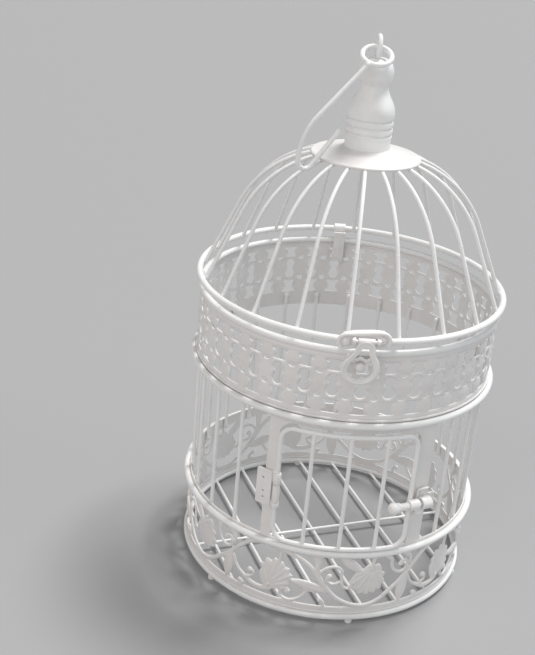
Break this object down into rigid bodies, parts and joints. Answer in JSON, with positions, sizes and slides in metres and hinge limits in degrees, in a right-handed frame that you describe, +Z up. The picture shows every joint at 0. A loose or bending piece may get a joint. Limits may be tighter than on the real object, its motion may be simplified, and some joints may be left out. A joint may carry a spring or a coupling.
{
  "type": "birdcage card box",
  "caption": "Round white wire birdcage card box with pierced bands, a latched front door, a hinged domed lid with a clasp, a turned finial and a hanging hook.",
  "frame": {"origin": "centre of the round footprint, on the surface that the feet stand on", "axes": "+Z up; the door and the clasp face -Y; +X to the right seen from the front"},
  "size_m": [0.2042, 0.2105, 0.3607],
  "materials": {
    "coated_wire": "satin",
    "coated_sheet": "satin",
    "coated_fittings": "satin",
    "coated_casting": "satin"
  },
  "bodies": {
    "cage": {"base_ring": "coated_wire", "feet": "coated_wire", "floor_wires": "coated_wire", "floor_cross_wire": "coated_wire", "lower_band": "coated_sheet", "lower_ring": "coated_wire", "body_bars": "coated_wire", "left_door_post": "coated_sheet", "right_door_post": "coated_sheet", "door_header": "coated_sheet", "mid_ring": "coated_wire", "upper_band": "coated_sheet", "top_ring": "coated_wire", "door_hinge_leaf": "coated_fittings", "door_hinge_rivets": "coated_fittings", "latch_keeper": "coated_fittings", "keeper_rivets": "coated_fittings", "clasp_catch": "coated_fittings", "catch_stud": "coated_fittings", "lid_hinge_strap": "coated_fittings", "lid_hinge_rivets": "coated_fittings", "weld_beads": "coated_wire"},
    "lid": {"lid_ring": "coated_wire", "dome_ribs": "coated_wire", "cap_disc": "coated_sheet", "finial": "coated_casting", "eyelet": "coated_wire", "clasp_plate": "coated_fittings", "clasp_rivets": "coated_fittings", "clasp_pin": "coated_fittings"},
    "clasp": {"clasp_tongue": "coated_fittings"},
    "door": {"door_frame": "coated_wire", "door_bars": "coated_wire", "door_hinge_collar": "coated_fittings", "latch_guide": "coated_fittings"},
    "latch": {"latch_bolt": "coated_fittings"},
    "hook": {"hanging_hook": "coated_wire"}
  },
  "joints": [
    {"name": "lid_hinge", "type": "hinge", "parent": "cage", "child": "lid", "pos_m": [0, 0.0995, 0.2026], "axis": [-1, 0, 0], "range_deg": [0, 105]},
    {"name": "clasp_swing", "type": "hinge", "parent": "lid", "child": "clasp", "pos_m": [0, -0.1054, 0.2048], "axis": [-1, 0, 0], "range_deg": [0, 120]},
    {"name": "door_hinge", "type": "hinge", "parent": "cage", "child": "door", "pos_m": [-0.0421, -0.0907, 0.0907], "axis": [0, 0, -1], "range_deg": [0, 110]},
    {"name": "latch_slide", "type": "slide", "parent": "door", "child": "latch", "axis": [0.907, 0.421, 0], "range_m": [0, 0.006]},
    {"name": "hook_swing", "type": "hinge", "parent": "lid", "child": "hook", "pos_m": [0, 0, 0.35295], "axis": [-1, 0, 0], "range_deg": [0, 225]}
  ]
}
